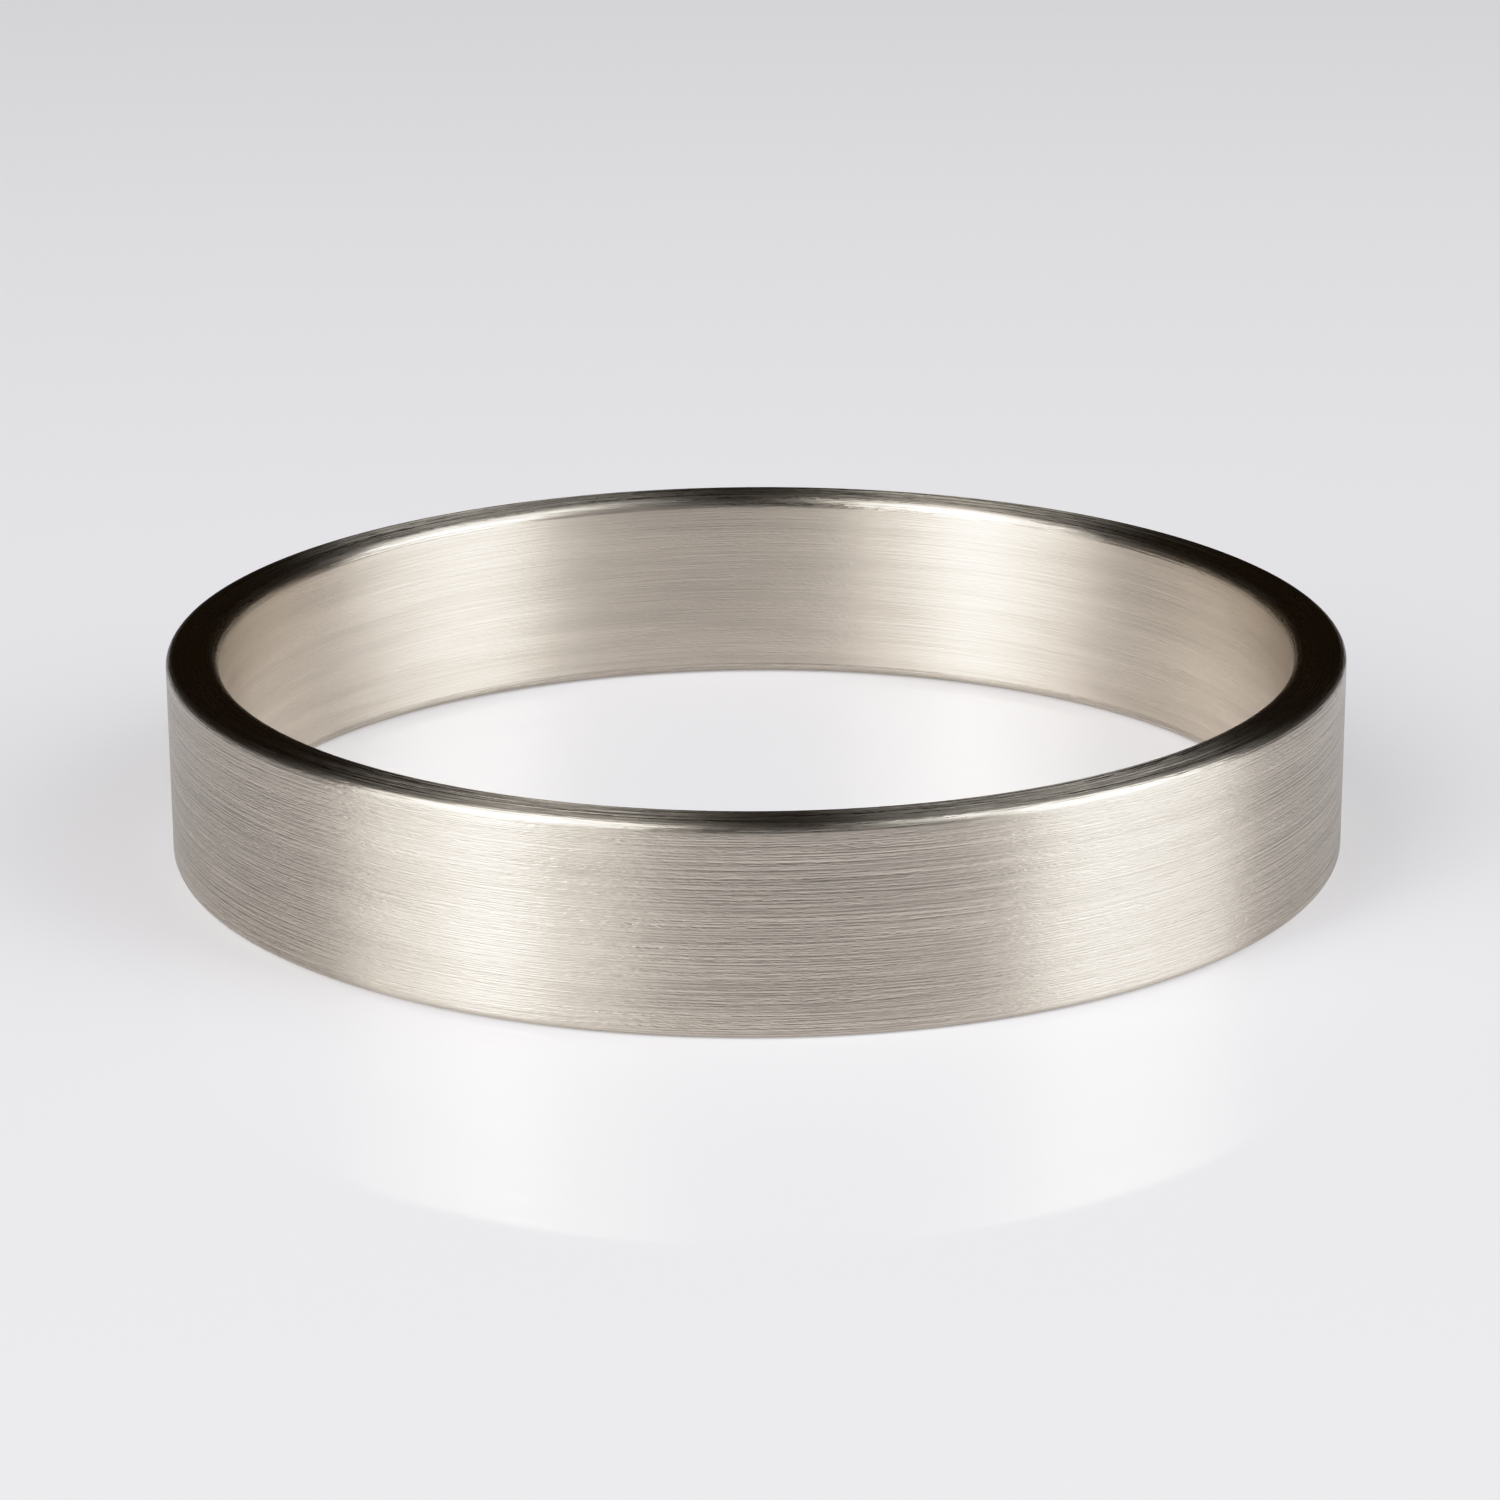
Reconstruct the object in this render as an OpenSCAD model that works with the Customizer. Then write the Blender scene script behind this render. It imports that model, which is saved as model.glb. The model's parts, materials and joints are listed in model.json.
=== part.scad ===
// Flat wedding band, made in one piece from a white precious metal.
// It lies on one edge face. The origin is the centre of that face and +Z runs along the bore.
// All sizes are in millimetres.

/* [Band] */
// Inside diameter, which sets the ring size (18.5 is US 8 1/2, ISO 58)
bore_d = 18.5; // [14:0.1:24]
// Width of the band, along the finger
band_w = 3.5; // [2:0.1:8]
// Thickness of the wall, from the finger side to the outside
wall_t = 0.9; // [0.8:0.05:2.5]

/* [Edges] */
// Radius of the two outer edges, softened with a fine file
outer_edge_r = 0.14; // [0.05:0.01:0.35]
// Radius of the two inner edges, eased for comfort on the finger
inner_edge_r = 0.2; // [0.05:0.01:0.4]

/* [Look] */
// Colour of the metal
metal_colour = [0.68, 0.65, 0.61]; // [0:0.01:1]

/* [Hidden] */
$fn = 180;
bore_r = bore_d / 2;
outer_r = bore_r + wall_t;

// One rounded corner of the section, with its centre at radius r and height z.
module edge_round(r, z, edge_r) {
    translate([r, z]) circle(r = edge_r);
}

// The wall's section, to the right of the axis: flat outside, flat inside, four rounded edges.
module wall_section() {
    inner_centre_r = bore_r + inner_edge_r;
    outer_centre_r = outer_r - outer_edge_r;

    // Between the two flat edge faces
    translate([inner_centre_r, 0]) square([outer_centre_r - inner_centre_r, band_w]);
    // Behind the bore's flat wall
    translate([bore_r, inner_edge_r]) square([inner_edge_r, band_w - 2 * inner_edge_r]);
    // Behind the flat outside wall
    translate([outer_centre_r, outer_edge_r]) square([outer_edge_r, band_w - 2 * outer_edge_r]);

    for (z = [inner_edge_r, band_w - inner_edge_r]) edge_round(inner_centre_r, z, inner_edge_r);
    for (z = [outer_edge_r, band_w - outer_edge_r]) edge_round(outer_centre_r, z, outer_edge_r);
}

// The whole band, one continuous ring of metal.
module band() {
    color(metal_colour) rotate_extrude() wall_section();
}

band();
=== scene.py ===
"""Looks for a flat wedding band: brushed white gold on a glossy pale floor, between two softboxes.

Everything is in metres, in the CAD frame: +Z runs along the bore, and the band lies on z = 0.
"""

import json
import math

import bpy
from mathutils import Matrix, Vector


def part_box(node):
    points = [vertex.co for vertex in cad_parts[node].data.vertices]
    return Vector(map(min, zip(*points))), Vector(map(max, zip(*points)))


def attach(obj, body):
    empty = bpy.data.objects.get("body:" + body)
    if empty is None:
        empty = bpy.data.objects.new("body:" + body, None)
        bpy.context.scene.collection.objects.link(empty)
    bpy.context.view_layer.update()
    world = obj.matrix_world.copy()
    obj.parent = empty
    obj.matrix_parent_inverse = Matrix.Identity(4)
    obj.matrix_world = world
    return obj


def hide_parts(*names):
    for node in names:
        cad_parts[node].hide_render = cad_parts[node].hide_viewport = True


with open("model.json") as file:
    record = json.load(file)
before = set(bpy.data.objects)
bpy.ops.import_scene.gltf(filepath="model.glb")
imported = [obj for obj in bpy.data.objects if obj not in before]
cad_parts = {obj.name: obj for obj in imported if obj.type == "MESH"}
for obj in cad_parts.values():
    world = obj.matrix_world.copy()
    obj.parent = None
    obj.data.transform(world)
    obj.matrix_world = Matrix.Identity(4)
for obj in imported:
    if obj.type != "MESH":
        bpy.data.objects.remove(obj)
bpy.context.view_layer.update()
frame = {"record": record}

MM = 0.001

# ---------------------------------------------------------------- sizes, from the frame

BAND_LOW, BAND_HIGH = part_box("band")
MOUNTS = {mount["name"]: mount for mount in frame["record"]["mounts"]}
BORE = MOUNTS["finger_bore"]["dims"]
WIDTH = BAND_HIGH.z - BAND_LOW.z
OUTER_R = (BAND_HIGH.x - BAND_LOW.x) / 2
BORE_R = BORE["r_mm"] * MM
# The bore's straight length stops where the inner edges' rounding starts
INNER_EDGE_R = (WIDTH - BORE["length_mm"] * MM) / 2
# The record doesn't hold the outer edges' radius, so this repeats the CAD model's value
OUTER_EDGE_R = 0.14 * MM

# ---------------------------------------------------------------- the camera

VIEW_ELEVATION = math.radians(18.02)
VIEW_ROLL = math.radians(-0.29)
VIEW_DISTANCE = 83.3 * MM
VIEW_AIM = Vector((-0.113 * MM, 0, 1.427 * MM))
# Focal length and sensor width, in the millimetres that Blender's camera takes
LENS = 114.7
SENSOR = 36
NEAREST = 5 * MM
FURTHEST = 20


def add_camera():
    """The camera looks along +Y and down on the band, rolled a little."""
    right = Vector((1, 0, 0))
    up = Vector((0, math.sin(VIEW_ELEVATION), math.cos(VIEW_ELEVATION)))
    back = right.cross(up)
    data = bpy.data.cameras.new("camera")
    data.lens = LENS
    data.sensor_width = SENSOR
    data.clip_start = NEAREST
    data.clip_end = FURTHEST
    data.dof.use_dof = False
    camera = bpy.data.objects.new("camera", data)
    turn = Matrix((right, up, back)).transposed() @ Matrix.Rotation(VIEW_ROLL, 3, "Z")
    camera.matrix_world = Matrix.Translation(VIEW_AIM + back * VIEW_DISTANCE) @ turn.to_4x4()
    bpy.context.scene.collection.objects.link(camera)
    bpy.context.scene.camera = camera


# ---------------------------------------------------------------- a short way to write nodes


class Nodes:
    """Adds nodes to the tree of a material, light or world, so that a formula reads as a formula."""

    def __init__(self, owner, shader):
        owner.use_nodes = True
        self.tree = owner.node_tree
        self.shader = self.tree.nodes[shader]

    def set_shader(self, values):
        """Sets or links the shader's sockets, by their names."""
        for key, value in values.items():
            self.put(value, self.shader.inputs[key])

    def add(self, kind, inputs=(), **settings):
        """Makes a node. The inputs are plain values or sockets, the settings its own properties."""
        node = self.tree.nodes.new(kind)
        for key, value in settings.items():
            setattr(node, key, value)
        for key, value in dict(inputs).items():
            self.put(value, node.inputs[key])
        return node

    def put(self, value, socket):
        """Links a socket to this one, or sets a plain value on it."""
        if isinstance(value, bpy.types.NodeSocket):
            self.tree.links.new(value, socket)
        else:
            socket.default_value = value

    def math(self, operation, a, b=0.0, c=0.0):
        return self.add("ShaderNodeMath", {0: a, 1: b, 2: c}, operation=operation).outputs[0]

    def split(self, vector):
        """The X, Y and Z of a vector."""
        return self.add("ShaderNodeSeparateXYZ", {0: vector}).outputs

    def noise(self, vector, detail):
        """Noise from 0 to 1 whose features are about one unit of the vector across."""
        inputs = {"Vector": vector, "Detail": detail, "Scale": 1.0}
        return self.add("ShaderNodeTexNoise", inputs).outputs[0]

    def ramp(self, value, low, high, to_low=0.0, to_high=1.0):
        """to_low below low, to_high above high, and a straight line between them."""
        inputs = {"Value": value, "From Min": low, "From Max": high, "To Min": to_low, "To Max": to_high}
        return self.add("ShaderNodeMapRange", inputs).outputs[0]

    def mix_colour(self, factor, a, b, blend="MIX"):
        """For colours, the Mix node uses its sockets 0, 6 and 7, and its result is output 2."""
        node = self.tree.nodes.new("ShaderNodeMix")
        node.data_type = "RGBA"
        node.blend_type = blend
        self.put(factor, node.inputs[0])
        self.put(a, node.inputs[6])
        self.put(b, node.inputs[7])
        return node.outputs[2]


# ---------------------------------------------------------------- the wall's section

# How many steps the mesh takes round the band, then along each part of the section
ROUND_STEPS = 720
WALL_STEPS = 24
FACE_STEPS = 10
EDGE_STEPS = 8


def wall_section():
    """The closed outline of the wall as (radius, height) pairs, anticlockwise from the bore's foot."""
    points = []

    def straight(start, end, steps):
        for i in range(steps):
            t = i / steps
            points.append((start[0] + (end[0] - start[0]) * t, start[1] + (end[1] - start[1]) * t))

    def corner(centre_r, centre_z, size, start_degrees):
        for i in range(EDGE_STEPS):
            angle = math.radians(start_degrees + 90 * i / EDGE_STEPS)
            points.append((centre_r + size * math.cos(angle), centre_z + size * math.sin(angle)))

    inner, outer = INNER_EDGE_R, OUTER_EDGE_R
    corner(BORE_R + inner, inner, inner, 180)
    straight((BORE_R + inner, 0), (OUTER_R - outer, 0), FACE_STEPS)
    corner(OUTER_R - outer, outer, outer, 270)
    straight((OUTER_R, outer), (OUTER_R, WIDTH - outer), WALL_STEPS)
    corner(OUTER_R - outer, WIDTH - outer, outer, 0)
    straight((OUTER_R - outer, WIDTH), (BORE_R + inner, WIDTH), FACE_STEPS)
    corner(BORE_R + inner, WIDTH - inner, inner, 90)
    straight((BORE_R, WIDTH - inner), (BORE_R, inner), WALL_STEPS)
    return points


def section_parts():
    """Which surface each step of the section belongs to, in the outline's order."""
    corner = ["corner"] * EDGE_STEPS
    edge = corner + ["edge"] * FACE_STEPS + corner
    return edge + ["wall"] * WALL_STEPS + edge + ["bore"] * WALL_STEPS


def section_distances(section):
    """How far along the closed outline each point lies. The last value is the whole way round."""
    distances = [0.0]
    for i, (r, z) in enumerate(section):
        next_r, next_z = section[(i + 1) % len(section)]
        distances.append(distances[-1] + math.hypot(next_r - r, next_z - z))
    return distances


SECTION = wall_section()
DISTANCES = section_distances(SECTION)
OUTLINE_LENGTH = DISTANCES[-1]


# ---------------------------------------------------------------- the brushed metal

# The metal's two tones, one on either flank of each scratch, as painted shade and painted highlight:
# (darker, lighter)
OUTER_METAL_LIT_AND_SHADED_FLANKS = ((0.439, 0.397, 0.341, 1), (0.571, 0.515, 0.442, 1))
INNER_METAL_LIT_AND_SHADED_FLANKS = ((0.608, 0.546, 0.468, 1), (0.642, 0.58, 0.501, 1))

# The band's UV map, its surface unrolled: U runs once round the band, V once round its section.
STRIP = "OFBake"

# The layers of scratches: their spacing, how long they are before they break off, seed and depth
SCRATCHES = (
    (0.023 * MM, 0.12 * MM, 3.0, 0.85),
    (0.028 * MM, 0.28 * MM, 29.0, 0.72),
    (0.037 * MM, 0.8 * MM, 17.0, 0.56),
)
# How long a scratch would be if nothing broke it
FULL_SCRATCH = 4.0 * MM
# A break reaches over this many scratches beside each other
BREAK_WIDTH = 1.5
# The noise of the breaks takes its layer's seed plus this
BREAK_SEED = 50
# Where that noise is under the first value there is no scratch, and over the second it is at full depth
BREAK_RANGE = (0.40, 0.66)
# How far apart across a scratch its slope is measured
SLOPE_STEP = 0.012 * MM
# Broad strokes of the abrasive, slightly darker or lighter: their size across and along, and seed
STROKE = (0.26 * MM, 4.0 * MM, 7.0)

# The middle of every noise, and so of the height and the slope
MIDDLE = 0.5
# The slopes that take the darker and the lighter tone, the painted shade and the painted highlight of a
# scratch's flanks
SLOPE_RANGE = (0.42, 0.58)
# The strokes that are darkest and lightest, and what they multiply the tone by
STROKE_RANGE = (0.3, 0.7)
STROKE_SHADES = (0.93, 1.07)
# The heights at which the metal is smoothest and roughest
HEIGHT_RANGE = (0.36, 0.64)
# How deep a height of 1 is, before a material's own relief
RELIEF_DEPTH = 0.06 * MM
# A quarter turn, which spreads the reflections across the scratches
ACROSS = 0.25


def brush_lines(n, coarseness, stretch):
    """Scratches that run round the band: their height, slope and broad stroke, all about MIDDLE."""
    place = n.add("ShaderNodeTexCoord").outputs["Object"]
    x, y, _ = n.split(place)
    radius = n.math("SQRT", n.math("ADD", n.math("MULTIPLY", x, x), n.math("MULTIPLY", y, y)))
    cosine = n.math("DIVIDE", x, radius)
    sine = n.math("DIVIDE", y, radius)
    strip = n.add("ShaderNodeUVMap", uv_map=STRIP).outputs[0]
    across = n.math("MULTIPLY", n.split(strip)[1], OUTLINE_LENGTH)

    def streaks(spacing, length, seed, detail, shift=0.0):
        """Noise that changes over spacing across the scratches and over length along them.

        It wraps round a circle in noise space, so that it meets itself after one turn of the band.
        """
        circle = OUTER_R / (length * coarseness)
        cell = spacing * coarseness
        point = {
            0: n.math("MULTIPLY_ADD", cosine, circle, seed),
            1: n.math("MULTIPLY", sine, circle),
            2: n.math("MULTIPLY_ADD", across, 1 / cell, seed + shift / cell),
        }
        return n.noise(n.add("ShaderNodeCombineXYZ", point).outputs[0], detail)

    def scratches(spacing, seed, shift=0.0):
        """Unbroken scratches of one layer, about 0."""
        return n.math("SUBTRACT", streaks(spacing, FULL_SCRATCH, seed, detail=0.0, shift=shift), MIDDLE)

    height, ahead = MIDDLE, MIDDLE
    for spacing, length, seed, full_depth in SCRATCHES:
        breaks = streaks(BREAK_WIDTH * spacing, length * stretch, seed + BREAK_SEED, detail=1.0)
        depth = n.ramp(breaks, *BREAK_RANGE, 0.0, full_depth)
        here = scratches(spacing, seed)
        there = scratches(spacing, seed, SLOPE_STEP * coarseness)
        height = n.math("MULTIPLY_ADD", here, depth, height)
        ahead = n.math("MULTIPLY_ADD", there, depth, ahead)
    slope = n.math("ADD", n.math("SUBTRACT", ahead, height), MIDDLE)
    stroke = streaks(*STROKE, detail=2.0)
    return height, slope, stroke


def brushed_metal(name, metal_and_flank_shading, roughness, swing, anisotropy, relief, coarseness=1.0, stretch=1.0):
    """White gold with a brushed finish.

    swing says how far the scratches change the roughness. coarseness makes the scratches larger, and
    stretch makes them run further before they break off. The tone follows the slope of a scratch, as
    painted shade on one flank and painted highlight on the other, so that colour and bump add up under
    flat light and nearly cancel in a highlight.
    """
    material = bpy.data.materials.new(name)
    n = Nodes(material, "Principled BSDF")
    height, slope, stroke = brush_lines(n, coarseness, stretch)
    # Painted shade on one flank of each scratch and painted highlight on the other, picked by its slope
    metal_with_painted_flanks = n.mix_colour(n.ramp(slope, *SLOPE_RANGE), *metal_and_flank_shading)
    shade = n.ramp(stroke, *STROKE_RANGE, *STROKE_SHADES)
    bump = n.add("ShaderNodeBump", {"Strength": relief, "Distance": RELIEF_DEPTH, "Height": height})
    tangent = n.add("ShaderNodeTangent", direction_type="RADIAL", axis="Z")
    n.set_shader({
        "Base Color": n.mix_colour(1.0, metal_with_painted_flanks, shade, "MULTIPLY"),
        "Metallic": 1.0,
        "Roughness": n.ramp(height, *HEIGHT_RANGE, roughness - swing, roughness + swing),
        "Anisotropic": anisotropy,
        "Anisotropic Rotation": ACROSS,
        "Tangent": tangent.outputs[0],
        "Normal": bump.outputs[0],
    })
    return material


def band_materials():
    """The material of each part of the section, by the names that section_parts gives them."""
    return {
        "wall": brushed_metal("brushed_outside", OUTER_METAL_LIT_AND_SHADED_FLANKS, roughness=0.385, swing=0.06,
                              anisotropy=0.75, relief=0.31),
        "edge": brushed_metal("brushed_edges", OUTER_METAL_LIT_AND_SHADED_FLANKS, roughness=0.31, swing=0.12,
                              anisotropy=0.98, relief=0.45, coarseness=1.2, stretch=2.5),
        "corner": brushed_metal("brushed_corners", OUTER_METAL_LIT_AND_SHADED_FLANKS, roughness=0.35, swing=0.08,
                                anisotropy=0.93, relief=0.24, coarseness=1.1, stretch=2.0),
        "bore": brushed_metal("satin_inside", INNER_METAL_LIT_AND_SHADED_FLANKS, roughness=0.42, swing=0.03,
                              anisotropy=0.80, relief=0.15),
    }


# ---------------------------------------------------------------- the band


def revolve(name):
    """Turns the section once round +Z into a closed mesh of quads, with its strip UV map."""
    count = len(SECTION)
    vertices = []
    for i in range(ROUND_STEPS):
        angle = 2 * math.pi * i / ROUND_STEPS
        vertices += [(r * math.cos(angle), r * math.sin(angle), z) for r, z in SECTION]
    faces = []
    strip = []
    for i in range(ROUND_STEPS):
        here, there = i * count, (i + 1) % ROUND_STEPS * count
        left, right = i / ROUND_STEPS, (i + 1) / ROUND_STEPS
        for j in range(count):
            k = (j + 1) % count
            faces.append((here + j, there + j, there + k, here + k))
            low, high = DISTANCES[j] / OUTLINE_LENGTH, DISTANCES[j + 1] / OUTLINE_LENGTH
            strip += [left, low, right, low, right, high, left, high]
    mesh = bpy.data.meshes.new(name)
    mesh.from_pydata(vertices, [], faces)
    mesh.polygons.foreach_set("use_smooth", [True] * len(mesh.polygons))
    mesh.uv_layers.new(name=STRIP).data.foreach_set("uv", strip)
    mesh.update()
    piece = bpy.data.objects.new(name, mesh)
    bpy.context.scene.collection.objects.link(piece)
    return piece


def add_band():
    """The band, whose mesh stands for the CAD node and carries its finish."""
    band = revolve("brushed_band")
    materials = band_materials()
    for material in materials.values():
        band.data.materials.append(material)
    slots = list(materials)
    of_section = [slots.index(part) for part in section_parts()]
    band.data.polygons.foreach_set("material_index", of_section * ROUND_STEPS)
    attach(band, "root")
    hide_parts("band")


# ---------------------------------------------------------------- the floor and the lights

FLOOR_HALF = 1.5
# A gap too small to see, so that the floor and the band's lower face aren't in one plane
FLOOR_GAP = 0.005 * MM
FLOOR_COLOUR = (0.618, 0.597, 0.621, 1)
FLOOR_ROUGHNESS = 0.045
FLOOR_IOR = 1.4
# The board is lit from below a little, as an acrylic photo table is
FLOOR_GLOW = 0.27

# A dark room with a little warm light
ROOM_COLOUR = (1, 0.62, 0.3, 1)
ROOM_LIGHT = 0.011

PANEL_DISTANCE = 1.0
COOL_LEFT = (0.975, 0.99, 1.0)
COOL_RIGHT = (0.93, 0.965, 1.0)
# How far each panel fades out: in degrees seen from the band at either side, in metres at its foot
SOFT_SIDE = 8
SOFT_FOOT = 0.12
# The panels of the two softboxes, each brightest in its core: azimuth, angle across and lean in degrees,
# then height in metres, radiance and colour. Azimuth 0 is the camera's side, and 90 is +X.
PANELS = {
    "left_edge": (-30, 8, 12, 2.6, 3.2, COOL_LEFT),
    "left_core": (-50, 16, 5, 2.6, 7.9, COOL_LEFT),
    "left_side": (-69, 22, 3, 2.6, 3.7, COOL_LEFT),
    "right_core": (65, 22, 9, 2.6, 5.4, COOL_RIGHT),
    "right_side": (88, 24, 0, 1.3, 4.5, COOL_RIGHT),
}


def add_floor():
    """A glossy pale board that reaches far past the band on every side."""
    mesh = bpy.data.meshes.new("floor")
    half = FLOOR_HALF
    corners = [(-half, -half, 0), (half, -half, 0), (half, half, 0), (-half, half, 0)]
    mesh.from_pydata(corners, [], [(0, 1, 2, 3)])
    floor = bpy.data.objects.new("floor", mesh)
    floor.location.z = -FLOOR_GAP
    bpy.context.scene.collection.objects.link(floor)
    board = bpy.data.materials.new("glossy_board")
    Nodes(board, "Principled BSDF").set_shader({
        "Base Color": FLOOR_COLOUR,
        "Roughness": FLOOR_ROUGHNESS,
        "IOR": FLOOR_IOR,
        "Emission Color": (1, 1, 1, 1),
        "Emission Strength": FLOOR_GLOW,
    })
    mesh.materials.append(board)


def fade_edges(data, across, height):
    """Dims a light panel towards its left and right sides and its foot, so that its edges are soft.

    Parametric runs from 0 to 1 across the panel, and from 0 at its foot to 1 at its top.
    """
    n = Nodes(data, "Emission")
    along, up, _ = n.split(n.add("ShaderNodeNewGeometry").outputs["Parametric"])
    from_middle = n.math("ABSOLUTE", n.math("SUBTRACT", along, 0.5))
    fade_start = 0.5 - SOFT_SIDE / (across + SOFT_SIDE)
    sides = n.ramp(from_middle, fade_start, 0.5, 1.0, 0.0)
    foot = n.ramp(up, 0.0, SOFT_FOOT / height)
    n.set_shader({"Strength": n.math("MULTIPLY", sides, foot)})


def add_panel(name, azimuth, across, lean, height, radiance, colour):
    """A tall light panel that stands on the floor and faces the band's axis, its top leaning in."""
    angle = math.radians(azimuth)
    way = Vector((math.sin(angle), -math.cos(angle), 0))
    foot = way * PANEL_DISTANCE
    vertical = Vector((0, 0, 1))
    tilt = Matrix.Rotation(math.radians(lean), 3, vertical.cross(-way))
    side = vertical.cross(way)
    upward = tilt @ vertical
    away = tilt @ way
    width = 2 * PANEL_DISTANCE * math.tan(math.radians((across + SOFT_SIDE) / 2))
    data = bpy.data.lights.new(name, "AREA")
    data.shape = "RECTANGLE"
    data.size = width
    data.size_y = height
    data.energy = radiance * math.pi * width * height
    data.color = colour
    fade_edges(data, across, height)
    lamp = bpy.data.objects.new(name, data)
    turn = Matrix((side, upward, away)).transposed()
    lamp.matrix_world = Matrix.Translation(foot + upward * height / 2) @ turn.to_4x4()
    lamp.visible_camera = False
    bpy.context.scene.collection.objects.link(lamp)


def add_world():
    world = bpy.data.worlds.new("dark_studio")
    Nodes(world, "Background").set_shader({"Color": ROOM_COLOUR, "Strength": ROOM_LIGHT})
    bpy.context.scene.world = world


def add_lights():
    for name, panel in PANELS.items():
        add_panel(name, *panel)


# ---------------------------------------------------------------- the tone of the picture

# Bright light is rolled off gently, as a camera does: scene brightness and picture brightness
SHOULDER = (
    (0, 0), (0.25, 0.25), (0.5, 0.5), (0.7, 0.68), (0.9, 0.82), (1.1, 0.915), (1.3, 0.975), (1.5, 1),
)
# The view's curve for all three colours together, after red, green and blue
ALL_COLOURS = 3


def add_shoulder():
    """Sets the view's curve to SHOULDER. The curve itself runs from 0 to 1."""
    view = bpy.context.scene.view_settings
    view.view_transform = "Standard"
    view.use_curve_mapping = True
    brightest = SHOULDER[-1][0]
    view.curve_mapping.white_level = (brightest, brightest, brightest)
    points = view.curve_mapping.curves[ALL_COLOURS].points
    for bright, shown in SHOULDER[1:-1]:
        points.new(bright / brightest, shown)
    for point in points:
        point.handle_type = "AUTO_CLAMPED"
    view.curve_mapping.update()


add_camera()
add_band()
add_floor()
add_world()
add_lights()
add_shoulder()
